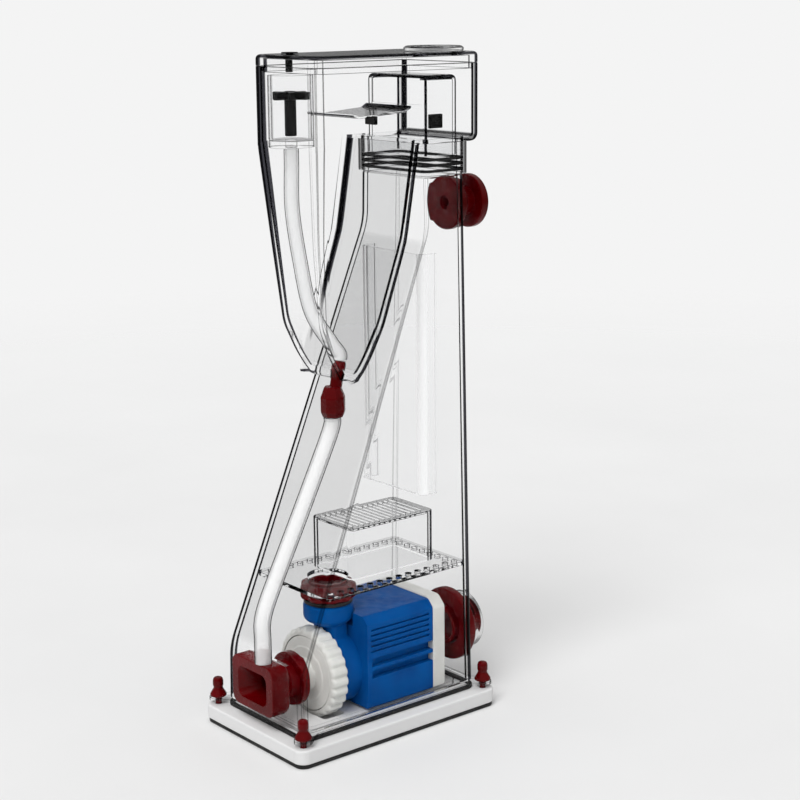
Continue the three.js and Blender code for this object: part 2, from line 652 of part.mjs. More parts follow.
const drain = new THREE.Group();
drain.position.set(0, REAR_Y, DRAIN_Z);
skimmer.add(drain);
add('outlet_pipe', pipeAlongX(16.8, 13.5, 86, 116), RED(), drain);
add('outlet_flange', pipeAlongX(31.5, 17.1, 91.3, 99), RED(), drain);
add('outlet_nut', pipeAlongX(25, 17.1, 107, 113.5, 28), CLEAR(), drain);

add('cable_gland', turnedAlongX([
  [2.6, 80], [8, 80], [8, 86.6], [4.9, 86.6], [4.9, 91.4], [8, 91.4], [8, 97], [5, 101],
  [2.6, 101], [2.6, 80],
], 20).translate(0, 38, 40), BLACK());

export default skimmer;
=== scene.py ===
"""Looks of a slim protein skimmer: clear acrylic body and cup, needle-wheel pump and red fittings.

Lengths are in millimetres until a mesh is made, and the frame gives where each piece goes.
"""

import json
import math

import bmesh
import bpy
from mathutils import Matrix, Vector


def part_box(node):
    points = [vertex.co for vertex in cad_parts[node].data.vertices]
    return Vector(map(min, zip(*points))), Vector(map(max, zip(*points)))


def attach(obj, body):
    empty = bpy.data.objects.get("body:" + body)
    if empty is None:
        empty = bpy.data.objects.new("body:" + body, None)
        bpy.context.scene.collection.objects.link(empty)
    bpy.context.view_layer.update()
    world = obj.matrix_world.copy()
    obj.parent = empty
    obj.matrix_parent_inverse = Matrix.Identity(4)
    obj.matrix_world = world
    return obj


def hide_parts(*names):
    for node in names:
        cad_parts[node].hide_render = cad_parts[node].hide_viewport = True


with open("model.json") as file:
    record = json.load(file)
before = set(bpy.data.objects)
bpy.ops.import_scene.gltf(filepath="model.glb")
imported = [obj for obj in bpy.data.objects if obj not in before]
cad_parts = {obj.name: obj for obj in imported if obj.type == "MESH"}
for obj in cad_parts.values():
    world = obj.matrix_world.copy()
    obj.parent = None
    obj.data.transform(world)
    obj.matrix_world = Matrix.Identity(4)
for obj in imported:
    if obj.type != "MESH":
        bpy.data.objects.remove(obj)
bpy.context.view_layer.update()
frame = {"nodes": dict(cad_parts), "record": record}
scene = bpy.context.scene
MM = 0.001
GAP = 0.3  # between neighbouring pieces
SQUARE = ((-1, -1), (1, -1), (1, 1), (-1, 1))
BODY_OF = {node: body for body, nodes in frame["record"]["behaviour"]["bodies"].items() for node in nodes}
SLOT_OF = {part["node"]: part["material_slot"] for part in frame["record"]["subparts"]}


def box(node):
    """Lowest and highest corner of a CAD node, in millimetres."""
    low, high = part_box(node)
    return low / MM, high / MM


def middle(node):
    low, high = box(node)
    return (low + high) / 2


# ---- camera --------------------------------------
CAMERA = {"place": (-861.0, -1108.4, 592.4), "yaw": 39.58, "pitch": 12.98, "roll": -0.5, "lens": 80.13}


def add_camera():
    yaw, pitch, roll = (math.radians(CAMERA[k]) for k in ("yaw", "pitch", "roll"))
    forward = Vector((math.sin(yaw) * math.cos(pitch), math.cos(yaw) * math.cos(pitch), -math.sin(pitch)))
    right = Vector((math.cos(yaw), -math.sin(yaw), 0))
    up = right.cross(forward)
    tilted_right = right * math.cos(roll) + up * math.sin(roll)
    tilted_up = up * math.cos(roll) - right * math.sin(roll)
    data = bpy.data.cameras.new("camera")
    data.sensor_width = 36
    data.lens = CAMERA["lens"]
    data.clip_start, data.clip_end = 0.05, 30
    camera = bpy.data.objects.new("camera", data)
    turn = Matrix((tilted_right, tilted_up, -forward)).transposed().to_4x4()
    camera.matrix_world = Matrix.Translation(Vector(CAMERA["place"]) * MM) @ turn
    scene.collection.objects.link(camera)
    scene.camera = camera


add_camera()

# ---- materials -----------------------------------


class Nodes:
    """A material's or world's node tree, with short ways to add and join nodes."""

    def __init__(self, owner, output="ShaderNodeOutputMaterial"):
        self.owner = owner
        owner.use_nodes = True
        self.tree = owner.node_tree
        self.tree.nodes.clear()
        self.output = self.tree.nodes.new(output)

    def add(self, kind, **values):
        node = self.tree.nodes.new(kind)
        for key, value in values.items():
            if key in node.inputs:
                node.inputs[key].default_value = value
            else:
                setattr(node, key, value)
        return node

    def join(self, source, socket):
        """Joins another node's output to a socket, or sets the socket to a number."""
        if isinstance(source, (int, float)):
            socket.default_value = source
        else:
            self.tree.links.new(source, socket)

    def surface(self, shader, other=None, share=0.0):
        """Puts out one shader, or a mix of two, where share is how much of the other one shows."""
        if other is not None:
            mix = self.add("ShaderNodeMixShader")
            self.join(share, mix.inputs[0])
            self.join(shader.outputs[0], mix.inputs[1])
            self.join(other.outputs[0], mix.inputs[2])
            shader = mix
        self.join(shader.outputs[0], self.output.inputs["Surface"])
        return self.owner

    def parts(self, output):
        """X, Y and Z of a texture coordinate."""
        place = self.add("ShaderNodeTexCoord")
        split = self.add("ShaderNodeSeparateXYZ")
        self.join(place.outputs[output], split.inputs[0])
        return split.outputs["X"], split.outputs["Y"], split.outputs["Z"]

    def noise(self, scale, detail):
        place = self.add("ShaderNodeTexCoord")
        noise = self.add("ShaderNodeTexNoise", Scale=scale, Detail=detail, Roughness=0.55)
        self.join(place.outputs["Object"], noise.inputs["Vector"])
        return noise.outputs["Fac"]

    def maths(self, operation, *values):
        node = self.add("ShaderNodeMath", operation=operation)
        for socket, value in zip(node.inputs, values):
            self.join(value, socket)
        return node.outputs[0]

    def times(self, first, second):
        return self.maths("MULTIPLY", first, second)

    def most(self, first, *others):
        for other in others:
            first = self.maths("MAXIMUM", first, other)
        return first

    def bends(self):
        """Four measures of how far a surface faces between the object's axes.

        Upright is 1 halfway round an upright corner, and level is 1 halfway over a rim. Lean is above 0
        on a rear wall that leans out. Side is above 0 only at the far front and near rear corners.
        """
        x, y, z = self.parts("Normal")
        lean = self.times(self.times(x, z), -1)
        side = self.times(self.times(x, y), -2)
        across = self.maths("SQRT", self.maths("SUBTRACT", 1, self.times(z, z)))
        level = self.times(2, self.times(self.maths("ABSOLUTE", z), across))
        return self.maths("ABSOLUTE", side), level, lean, side

    def span(self, source, low, high, start=0.3, end=0.7):
        """Runs from low to high while the source runs from start to end."""
        node = self.add("ShaderNodeMapRange")
        for key, value in zip(("From Min", "From Max", "To Min", "To Max"), (start, end, low, high)):
            node.inputs[key].default_value = value
        self.join(source, node.inputs["Value"])
        return node.outputs["Result"]

    def blend(self, factor, first, second):
        node = self.add("ShaderNodeMix", data_type="RGBA")
        node.inputs[6].default_value = (*first, 1)
        node.inputs[7].default_value = (*second, 1)
        self.join(factor, node.inputs[0])
        return node.outputs[2]

    def bump(self, height, strength, distance):
        node = self.add("ShaderNodeBump", Strength=strength, Distance=distance)
        self.join(height, node.inputs["Height"])
        return node.outputs["Normal"]


def moulded(name, dark, light, rough, grain, depth, gloss=0.5):
    """Moulded plastic: slow colour drift, uneven gloss and a fine skin grain."""
    n = Nodes(bpy.data.materials.new(name))
    shader = n.add("ShaderNodeBsdfPrincipled", IOR=1.48)
    shader.inputs["Specular IOR Level"].default_value = gloss
    n.join(n.blend(n.span(n.noise(38, 4), 0, 1), dark, light), shader.inputs["Base Color"])
    n.join(n.span(n.noise(160, 3), rough * 0.75, rough * 1.35), shader.inputs["Roughness"])
    n.join(n.bump(n.noise(grain, 2), 0.35, depth), shader.inputs["Normal"])
    return n.surface(shader)


PALE = (0.992, 0.993, 0.994)
PAINTED_EDGE_SHADE = (0.003, 0.003, 0.004)
PAINTED_RIM_SHADE = (0.01, 0.01, 0.012)
LAMP_LIGHT = (0.88, 0.88, 0.88, 1)  # what each surface lets through of a lamp's light
# How level a rim is where its painted shade starts, and where it is darkest.
SHARP_RIM = (0.6, 0.9)
SOFT_RIM = (0.3, 0.7)
CORNER_MARK = "bend"  # the mesh attribute that marks round corners, where shade is painted
LINE_AT = 0.88  # how far round an upright corner its painted dark lines are
STEP = 0.01  # metres over which a change along the object runs


def painted_edge_shade(n, corner=0.0, rim=0.0, thin=0.3, graze=0.85, post=None, above=None, back_wall=0.0,
               rim_span=SHARP_RIM, marked=False):
    """Painted shade at the edges of acrylic, and how far round an upright corner a surface is.

    Corner and rim say how much shade is painted on its upright corners and its level rims; thin, how dark
    the two painted lines are that show on a corner seen square-on. Behind x = post such a corner has one
    painted dark line. Above is the height from which rims are painted dark. Graze is how far from square-on
    the painted shade starts. Back_wall paints grey shade on a rear wall that leans out. Marked says that the
    mesh itself marks its round corners.
    """
    upright, level, lean, side = n.bends()
    facing = n.add("ShaderNodeLayerWeight", Blend=0.5).outputs["Facing"]
    x, _, z = n.parts("Object")
    if marked:
        corners = n.add("ShaderNodeAttribute", attribute_name=CORNER_MARK).outputs["Fac"]
        corner_shade = n.span(corners, 0, corner)
        upright = n.times(upright, corners)
    else:
        corner_shade = n.span(upright, 0, corner, 0.03, 0.2)
    sideways = n.times(n.span(side, 0, 1, 0.0, 0.1), n.span(facing, 0, 1, 0.14, 0.24))
    turned_away = n.most(n.span(facing, 0, 1, 0.3, 0.45), sideways)
    off_line = n.maths("ABSOLUTE", n.maths("SUBTRACT", upright, LINE_AT))
    line_shade = n.span(off_line, thin, 0, 0.02, 0.05)
    if post is not None:
        behind = n.span(x, 0, 1, post, post + STEP)
        post_shade = n.times(n.span(upright, 0, corner, LINE_AT - 0.1, LINE_AT), behind)
        line_shade = n.most(post_shade, n.times(line_shade, n.maths("SUBTRACT", 1, behind)))
    rim_shade = n.span(level, 0, rim, *rim_span)
    if above is not None:
        rim_shade = n.times(rim_shade, n.span(z, 0, 1, above, above + STEP))
    graze_shade = n.span(facing, 0, 0.95, graze, graze + 0.2)
    painted_shade = n.most(n.times(corner_shade, turned_away), line_shade, rim_shade, graze_shade, n.span(n.noise(14, 3), 0.0, 0.015))
    if back_wall:
        painted_shade = n.most(painted_shade, n.span(lean, 0, back_wall, 0.08, 0.13))
    return painted_shade, upright


def clear(name, bend=1.06, painted_highlight=None, **edges):
    """Polished acrylic with painted shade in its corners and where seen edge-on; lamps shine through it.

    Bend is its refractive index. Its third argument is painted highlight: how white its flat parts and its
    round corners are painted.
    """
    n = Nodes(bpy.data.materials.new(name))
    glass = n.add("ShaderNodeBsdfPrincipled", IOR=bend, Metallic=0.0)
    glass.inputs["Transmission Weight"].default_value = 1.0
    painted_shade, upright = painted_edge_shade(n, **edges)
    n.join(n.blend(painted_shade, PALE, PAINTED_EDGE_SHADE), glass.inputs["Base Color"])
    if painted_highlight:
        n.join(n.span(upright, 1 - painted_highlight[0], 1 - painted_highlight[1], 0.1, 0.4), glass.inputs["Transmission Weight"])
    n.join(n.span(n.noise(90, 4), 0.0, 0.02), glass.inputs["Roughness"])
    n.join(n.bump(n.noise(22, 2), 0.1, 0.0003), glass.inputs["Normal"])
    lamp_way = n.add("ShaderNodeBsdfTransparent", Color=LAMP_LIGHT)
    return n.surface(glass, lamp_way, n.add("ShaderNodeLightPath").outputs["Is Shadow Ray"])


def thin_sheet(name, rim, gloss):
    """Thin clear acrylic that shows what is behind it unbent, with painted rim shade and a faint uneven
    gloss.
    """
    n = Nodes(bpy.data.materials.new(name))
    _, level, _, side = n.bends()
    rim_shade, corners = n.span(level, 0, rim, 0.4, 0.8), n.span(side, 0, rim, 0.1, 0.4)
    through = n.add("ShaderNodeBsdfTransparent")
    painted_shade = n.most(rim_shade, corners, n.span(n.noise(14, 3), 0.0, 0.03))
    n.join(n.blend(painted_shade, PALE, PAINTED_RIM_SHADE), through.inputs["Color"])
    shine = n.add("ShaderNodeBsdfAnisotropic")
    n.join(n.span(n.noise(90, 4), 0.03, 0.1), shine.inputs["Roughness"])
    n.join(n.bump(n.noise(22, 2), 0.1, 0.0003), shine.inputs["Normal"])
    return n.surface(through, shine, gloss)


def ground_metal(name, colour, rough):
    """Ground metal: patches of a darker tone and an uneven gloss."""
    n = Nodes(bpy.data.materials.new(name))
    shader = n.add("ShaderNodeBsdfPrincipled", Metallic=1.0)
    patches = n.blend(n.span(n.noise(220, 2), 0, 1), tuple(c * 0.8 for c in colour), colour)
    n.join(patches, shader.inputs["Base Color"])
    n.join(n.span(n.noise(400, 2), rough * 0.7, rough * 1.3), shader.inputs["Roughness"])
    return n.surface(shader)


LOOKS = {  # for each slot of the record
    "clear_acrylic": clear("acrylic", corner=1.0, rim=0.5, thin=0.65),
    "clear_tube": clear("tube", bend=1.08, painted_highlight=(0.4, 0.4), thin=0.0, graze=0.42),
    "red_plastic": moulded("red", (0.07, 0.0, 0.0), (0.13, 0.0, 0.002), 0.24, 900, 0.00008, 0.15),
    "blue_plastic": moulded("blue", (0.0, 0.05, 0.22), (0.0, 0.085, 0.33), 0.4, 1500, 0.00012, 0.05),
    "ivory_plastic": moulded("ivory", (0.6, 0.6, 0.57), (0.72, 0.72, 0.69), 0.42, 1400, 0.0001),
    "white_plastic": moulded("white", (0.74, 0.74, 0.74), (0.76, 0.76, 0.76), 0.42, 700, 0.00008, 0.2),
    "black_plastic": moulded("black", (0.001, 0.001, 0.001), (0.004, 0.004, 0.004), 0.4, 1100, 0.0001, 0.1),
    "rubber_black": moulded("rubber", (0.003, 0.003, 0.003), (0.008, 0.008, 0.008), 0.6, 1700, 0.0002),
    "ceramic_bush": moulded("ceramic", (0.45, 0.44, 0.42), (0.6, 0.59, 0.56), 0.3, 600, 0.00005),
    "magnet": ground_metal("magnet", (0.06, 0.06, 0.065), 0.45),
    "shaft_steel": ground_metal("steel", (0.62, 0.62, 0.64), 0.25),
}
# Clear pieces whose painted shade and painted highlight differ from those of their slot.
CLEAR_KINDS = {
    "vessel": clear("vessel", corner=1.0, rim=0.95, thin=0.8, post=0.0, above=0.45, back_wall=0.2,
                    rim_span=SOFT_RIM, marked=True),
    "box": clear("box", corner=1.0, rim=1.0, post=-0.1, graze=0.64, rim_span=SOFT_RIM),
    "case": clear("case", corner=1.0, rim=1.0, thin=0.1, graze=0.56, rim_span=SOFT_RIM),
    "plate": clear("plate", corner=1.0, rim=1.0, thin=0.7, graze=0.64, rim_span=SOFT_RIM),
    "lid": clear("lid", corner=1.0, rim=1.0, thin=0.6, graze=0.6, rim_span=SOFT_RIM),
    "sleeve": thin_sheet("sleeve", 0.7, 0.012),
    "channel": clear("channel", painted_highlight=(0.05, 1.0), rim=0.3, thin=0.0),
    "round": clear("round", bend=1.1, rim=0.9, thin=0.0, graze=0.5),
}

# ---- mesh tools ----------------------------------
EASE_ANGLE = math.radians(32)


def mesh_of(points, faces):
    """A mesh from points in millimetres, with doubles merged and normals facing out."""
    mesh = bpy.data.meshes.new("skin")
    mesh.from_pydata([Vector(p) * MM for p in points], [], faces)
    return tidied(mesh)


def tidied(mesh):
    """The mesh with doubled points and slivers removed and its normals facing out."""
    work = bmesh.new()
    work.from_mesh(mesh)
    bmesh.ops.remove_doubles(work, verts=work.verts, dist=1e-6)
    bmesh.ops.dissolve_degenerate(work, edges=work.edges, dist=1e-7)
    bmesh.ops.recalc_face_normals(work, faces=work.faces)
    work.to_mesh(mesh)
    work.free()
    return mesh


def loft(loops, closed=False):
    """A skin through loops of equally many points, either closed in a ring or with both ends capped."""
    count = len(loops[0])
    faces = []
    for i in range(len(loops) if closed else len(loops) - 1):
        a, b = i * count, (i + 1) % len(loops) * count
        faces += [(a + k, a + (k + 1) % count, b + (k + 1) % count, b + k) for k in range(count)]
    if not closed:
        faces += [tuple(range(count)), tuple(range((len(loops) - 1) * count, len(loops) * count))]
    return mesh_of([p for loop in loops for p in loop], faces)


def rounded(points, radius, closed=True, steps=4):
    """A polyline of 2-D points with its corners rounded off."""
    made = []
    last = len(points) - 1
    for i, corner in enumerate(points):
        if not closed and i in (0, last):
            made.append(corner)
            continue
        here = Vector(corner)
        before, after = Vector(points[i - 1]) - here, Vector(points[(i + 1) % len(points)]) - here
        reach = min(radius, before.length * 0.48, after.length * 0.48)
        start, end = here + before.normalized() * reach, here + after.normalized() * reach
        for step in range(steps + 1):
            t = step / steps
            made.append(tuple(start * (1 - t) ** 2 + here * 2 * t * (1 - t) + end * t ** 2))
    return made


AXES = {
    "z": lambda a, b, h: (a, b, h),
    "x": lambda a, b, h: (h, a, b),
}


def turned(profile, centre, axis="z", ease=0.6, segments=96, closed=True):
    """A turned piece from [radius, height] pairs; heights are absolute along the axis."""
    line = rounded(profile, ease, closed)
    place = AXES[axis]
    loops = []
    for radius, height in line:
        loops.append([place(a, b, height) for a, b in circle(*centre, radius, segments)])
    return loft(loops, closed=closed)


def knob(profile, centre, axis="z", ease=0.6, segments=96):
    """A solid turned piece whose profile starts and ends on the axis."""
    return turned(profile, centre, axis, ease, segments, closed=False)


def planform(front, front_half, front_radius, back, back_half, back_radius, steps=10):
    """Outline with straight sides and rounded corners, wider at the back than at the front."""
    corners = [
        (back - back_radius, back_half - back_radius, back_radius, 0),
        (front + front_radius, front_half - front_radius, front_radius, 1),
        (front + front_radius, front_radius - front_half, front_radius, 2),
        (back - back_radius, back_radius - back_half, back_radius, 3),
    ]
    points = []
    for x, y, radius, quarter in corners:
        for i in range(steps + 1):
            angle = (quarter + i / steps) * math.pi / 2
            points.append((x + radius * math.cos(angle), y + radius * math.sin(angle)))
    return points


def rectangle(x0, x1, y0, y1, radius, steps=10):
    half, shift = (y1 - y0) / 2, (y0 + y1) / 2
    return [(x, y + shift) for x, y in planform(x0, half, radius, x1, half, radius, steps)]


def drawn_in(node, inset, radius):
    """Outline of a node's box from above, inset from its sides."""
    low, high = box(node)
    return rectangle(low.x + inset, high.x - inset, low.y + inset, high.y - inset, radius)


def circle(x, y, radius, steps=32):
    angles = [2 * math.pi * k / steps for k in range(steps)]
    return [(x + radius * math.cos(angle), y + radius * math.sin(angle)) for angle in angles]


def raised(outline, z):
    return [(x, y, z) for x, y in outline]


def ring_wall(section, outline):
    """A wall whose upright section is [inset, height] pairs, run round outline(inset)."""
    return loft([raised(outline(inset), height) for inset, height in section], closed=True)


def slab(section, outline):
    """A solid whose side is [inset, height] pairs from its bottom to its top."""
    return loft([raised(outline(inset), height) for inset, height in section])


def placed(mesh):
    """A helper object for the mesh."""
    made = bpy.data.objects.new("work", mesh)
    scene.collection.objects.link(made)
    return made


def evaluated(obj):
    """A new mesh with the object's modifiers applied; the object is removed."""
    bpy.context.view_layer.update()
    mesh = bpy.data.meshes.new_from_object(obj.evaluated_get(bpy.context.evaluated_depsgraph_get()))
    bpy.data.objects.remove(obj)
    return mesh


def sheet(outlines, z0, z1, ease=0.5):
    """A flat sheet between two heights: the first outline is its edge, and the others are holes in it."""
    curve = bpy.data.curves.new("outline", "CURVE")
    curve.dimensions, curve.fill_mode = "2D", "BOTH"
    curve.extrude = ((z1 - z0) / 2 - ease) * MM
    curve.bevel_depth, curve.offset, curve.bevel_resolution = ease * MM, -ease * MM, 2
    for outline in outlines:
        spline = curve.splines.new("POLY")
        spline.points.add(len(outline) - 1)
        for point, (x, y) in zip(spline.points, reversed(outline)):
            point.co = (x * MM, y * MM, 0, 1)
        spline.use_cyclic_u = True
    mesh = evaluated(placed(curve))
    mesh.transform(Matrix.Translation((0, 0, (z0 + z1) / 2 * MM)))
    return tidied(mesh)


def merged(*meshes):
    """Several meshes as one, without joining their solids."""
    work = bmesh.new()
    for mesh in meshes:
        work.from_mesh(mesh)
    mesh = bpy.data.meshes.new("merged")
    work.to_mesh(mesh)
    work.free()
    return mesh


def carved(base, *tools, operation="DIFFERENCE"):
    """A mesh less its tools, or together with them."""
    obj = placed(base)
    helpers = [placed(tool) for tool in tools]
    for helper in helpers:
        change = obj.modifiers.new("carve", "BOOLEAN")
        change.operation, change.object, change.solver = operation, helper, "EXACT"
    mesh = evaluated(obj)
    for helper in helpers:
        bpy.data.objects.remove(helper)
    return mesh


def eased(mesh, width, segments=3):
    """The mesh with its sharp edges rounded."""
    obj = placed(mesh)
    change = obj.modifiers.new("ease", "BEVEL")
    change.width, change.segments = width * MM, segments
    change.limit_method, change.angle_limit = "ANGLE", EASE_ANGLE
    return evaluated(obj)


def evened(mesh):
    """The mesh with the normals of its wide faces kept flat up to their rounded edges."""
    obj = placed(mesh)
    obj.modifiers.new("even", "WEIGHTED_NORMAL").keep_sharp = True
    return evaluated(obj)


def melted(mesh, voxel, passes):
    """One moulded skin over joined solids, with soft fillets where they meet."""
    obj = placed(mesh)
    change = obj.modifiers.new("skin", "REMESH")
    change.mode, change.voxel_size = "VOXEL", voxel * MM
    soften = obj.modifiers.new("soften", "SMOOTH")
    soften.factor, soften.iterations = 0.5, passes
    return evaluated(obj)


def prism(outline, z0, z1):
    return loft([raised(outline, z) for z in (z0, z1)])


def prism_x(outline, x0, x1):
    """A solid along x from an outline of (y, z) pairs."""
    return loft([[(x, y, z) for y, z in outline] for x in (x0, x1)])


def brick(x0, x1, y0, y1, z0, z1):
    return prism([(x0, y0), (x1, y0), (x1, y1), (x0, y1)], z0, z1)


def block(node):
    low, high = box(node)
    return brick(low.x, high.x, low.y, high.y, low.z, high.z)


def rod(x, y, radius, z0, z1, segments=48):
    return prism(circle(x, y, radius, segments), z0, z1)


def rod_x(y, z, radius, x0, x1, segments=64):
    return prism_x(circle(y, z, radius, segments), x0, x1)


def tube_profile(inner, outer, start, end):
    return [(inner, start), (outer, start), (outer, end), (inner, end)]


def smooth_line(points, samples=10):
    """Points along a Catmull-Rom curve through the given ones."""
    knots = [Vector(p) for p in points]
    ends = [knots[0] * 2 - knots[1], *knots, knots[-1] * 2 - knots[-2]]
    line = []
    for i in range(1, len(ends) - 2):
        a, b, c, d = ends[i - 1:i + 3]
        for step in range(samples):
            t = step / samples
            line.append((b * 2 + (c - a) * t + (a * 2 - b * 5 + c * 4 - d) * t ** 2
                         + (b * 3 - a - c * 3 + d) * t ** 3) / 2)
    return [*line, knots[-1]]


def sweep(line, radius, segments=40):
    """Loops of a round section carried along a line without twist."""
    loops, normal = [], Vector((0, 1, 0))
    for i, point in enumerate(line):
        along = (line[min(i + 1, len(line) - 1)] - line[max(i - 1, 0)]).normalized()
        normal = (normal - along * normal.dot(along)).normalized()
        side = along.cross(normal)
        loops.append([point + normal * a + side * b for a, b in circle(0, 0, radius, segments)])
    return loops


def hose(points, outer, inner):
    """A hollow tube along a smooth curve."""
    line = smooth_line(points)
    return loft([*sweep(line, outer), *reversed(sweep(line, inner))], closed=True)


def mark_corners(mesh, widest=6):
    """Marks the narrow upright facets that make up the mesh's round corners."""
    marks = mesh.attributes.new(CORNER_MARK, "FLOAT", "FACE")
    for face in mesh.polygons:
        spots = [mesh.vertices[v].co for v in face.vertices]
        across_x, across_y = (max(p[i] for p in spots) - min(p[i] for p in spots) for i in (0, 1))
        marks.data[face.index].value = float(math.hypot(across_x, across_y) < widest * MM)


def show(name, mesh, *nodes, kind=None):
    """Puts a piece in place of CAD nodes, on their body and with their finish."""
    mesh.materials.clear()
    mesh.materials.append(CLEAR_KINDS[kind] if kind else LOOKS[SLOT_OF[nodes[0]]])
    mesh.polygons.foreach_set("material_index", [0] * len(mesh.polygons))
    mesh.polygons.foreach_set("use_smooth", [True] * len(mesh.polygons))
    mesh.set_sharp_from_angle(angle=EASE_ANGLE)
    mesh = evened(mesh)
    mesh.name = name
    obj = bpy.data.objects.new(name, mesh)
    scene.collection.objects.link(obj)
    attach(obj, BODY_OF[nodes[0]])
    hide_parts(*nodes)


def show_tube(name, node, inner, outer, centre, axis="z", ease=0.6, kind=None):
    """Shows a plain tube, as long as its node's box."""
    start, end = (getattr(corner, axis) for corner in box(node))
    show(name, turned(tube_profile(inner, outer, start, end), centre, axis, ease), node, kind=kind)


# ---- base ----------------------------------------
SCREW = {"x": 94.5, "y": 59, "ear": 7.5, "hole": 3, "stud": 2.5}
BODY = {"front": -90, "back": 91, "slope_start": 68, "slope": 0.41, "neck_front": 48.6, "wall": 4,
        "half": 55, "half_at": 15.3, "taper": 0.0305, "radius": 10, "neck_radius": 7}
GASKET_WIDTH = 3.2
SCREW_PLACES = [(sx * SCREW["x"], sy * SCREW["y"]) for sx, sy in SQUARE]


def foot_outline(margin):
    """The body's foot with a rounded ear at each screw."""
    half, radius = BODY["half"] + margin, BODY["radius"] + margin
    plain = rectangle(BODY["front"] - margin, BODY["back"] + margin, -half, half, radius)
    outline = []
    for quarter, (sx, sy) in enumerate(((1, 1), (-1, 1), (-1, -1), (1, -1))):
        corner = plain[quarter * 11:(quarter + 1) * 11]
        x, y = sx * SCREW["x"], sy * SCREW["y"]
        start = (quarter - 0.36) * 90
        angles = [math.radians(start + step * 155 / 14) for step in range(15)]
        ear = [(x + SCREW["ear"] * math.cos(a), y + SCREW["ear"] * math.sin(a)) for a in angles]
        outline += [corner[0], *ear, corner[-1]]
    return rounded(outline, 2.5, steps=3)


def make_base():
    low, high = box("foot_mat")
    show("mat_sheet", sheet([drawn_in("foot_mat", 0, 8)], low.z, high.z, 0.6), "foot_mat")
    low, high = box("base_plate")
    side = rounded([(6, low.z), (0, low.z), (0, high.z), (6, high.z)], 1.8, closed=False, steps=6)
    plate = slab(side, lambda inset: drawn_in("base_plate", inset, 9 - inset * 0.8))
    ring_low, ring_high = box("volute_ring")
    pocket_outline = rectangle(ring_low.x - 2.5, ring_high.x + 2.5, -27, 27, 3)
    pocket = prism(pocket_outline, 8.3, high.z + 2)
    holes = [rod(x, y, SCREW["hole"], 7, high.z + 2) for x, y in SCREW_PLACES]
    show("base_slab", eased(carved(plate, pocket, merged(*holes)), 0.35, 2), "base_plate")
    low, high = box("base_gasket")
    gasket = [drawn_in("base_gasket", 0, BODY["radius"] + 0.5),
              drawn_in("base_gasket", GASKET_WIDTH, BODY["radius"] - 2.5)]
    show("gasket_sheet", sheet(gasket, low.z, high.z, 0.4), "base_gasket")
    low, high = box("body_flange")
    opening = rectangle(-78, 79, -43, 43, 6)
    studs = [circle(x, y, SCREW["hole"]) for x, y in SCREW_PLACES]
    flange = sheet([foot_outline(2.2), opening, *studs], low.z, high.z, 0.4)
    show("flange_sheet", flange, "body_flange", kind="sleeve")


def make_thumb_screws():
    for number, (x, y) in enumerate(SCREW_PLACES, 1):
        node = f"thumb_screw_{number}"
        low, high = box(node)
        seat = box("body_flange")[1].z + GAP
        profile = [(0, low.z), (SCREW["stud"], low.z), (SCREW["stud"], seat), (6.7, seat), (7, seat + 1.6),
                   (5.2, seat + 4.6), (4, seat + 6.6), (3.9, seat + 8), (4.4, seat + 9.4), (4.4, seat + 13.8),
                   (3.4, high.z - 0.3), (0, high.z)]
        show(f"screw_{number}", knob(profile, (x, y), ease=1.1, segments=64), node)


# ---- body ----------------------------------------
NECK_START = BODY["slope_start"] + (BODY["neck_front"] - BODY["front"]) / BODY["slope"]
BEND_REACH = 9
BACK_HOLES = (("outlet_pipe", 17.1, 64), ("level_flange", 5.5, 32), ("cable_gland", 5.2, 32))


def body_half(z):
    return BODY["half"] - (z - BODY["half_at"]) * BODY["taper"]


def body_front(z):
    """Front of the body at a height, with soft bends where the slope starts and ends."""
    def ramp(h):
        sloped = BODY["front"] + (h - BODY["slope_start"]) * BODY["slope"]
        return min(max(BODY["front"], sloped), BODY["neck_front"])
    return sum(ramp(z + BEND_REACH * k / 4) for k in range(-4, 5)) / 9


def body_outline(z, inset):
    front = body_front(z) + inset * 1.05
    low_down = min(1, max(0, (NECK_START - z) / 300))
    radius = BODY["neck_radius"] + (BODY["radius"] - BODY["neck_radius"]) * low_down
    half = body_half(z) - inset
    return planform(front, half, radius - inset, BODY["back"] - inset, half, radius - inset)


def make_body():
    low, high = box("side_panel_near")
    wall, ease = BODY["wall"], 0.7
    heights = [low.z, low.z + ease, *range(54, 84, 3), *range(100, 390, 24), *range(394, 421, 3),
               high.z - ease, high.z]
    eases = [ease if z in (low.z, high.z) else 0 for z in heights]
    outer = [raised(body_outline(z, inset), z) for z, inset in zip(heights, eases)]
    inner = [raised(body_outline(z, wall - inset), z) for z, inset in zip(heights, eases)]
    skin = loft([*outer, *reversed(inner)], closed=True)
    front = box("front_panel")[0].x
    half_w, half_h = (half + GAP for half in MOUTH)
    bell = brick(front - 10, front + 20, -half_w, half_w, BELL["z"] - half_h, BELL["z"] + half_h)
    holes = []
    for node, radius, segments in BACK_HOLES:
        spot = middle(node)
        holes.append(rod_x(spot.y, spot.z, radius, 80, 100, segments))
    show("body_shell", carved(skin, bell, merged(*holes)),
         "side_panel_near", "side_panel_far", "front_panel", "back_panel")


def neck_outline(inset):
    return drawn_in("neck_collar", inset, max(BODY["neck_radius"] - inset, 1))


def make_neck():
    low, high = box("neck_collar")
    section = [(0, low.z)]
    seals = [middle(f"neck_o_ring_{i}").z for i in (1, 2, 3)]
    for z in seals:
        section += [(0, z - 1.4), (1.4, z - 1.4), (1.4, z + 1.4), (0, z + 1.4)]
    section += [(0, high.z), (BODY["wall"], high.z), (BODY["wall"], low.z)]
    sleeve = ring_wall(rounded(section, 0.3, steps=2), neck_outline)
    show("collar_sleeve", sleeve, "neck_collar", kind="sleeve")
    for i, z in enumerate(seals, 1):
        show(f"seal_{i}", ring_wall(circle(0.15, z, 1.15, 20), neck_outline), f"neck_o_ring_{i}")


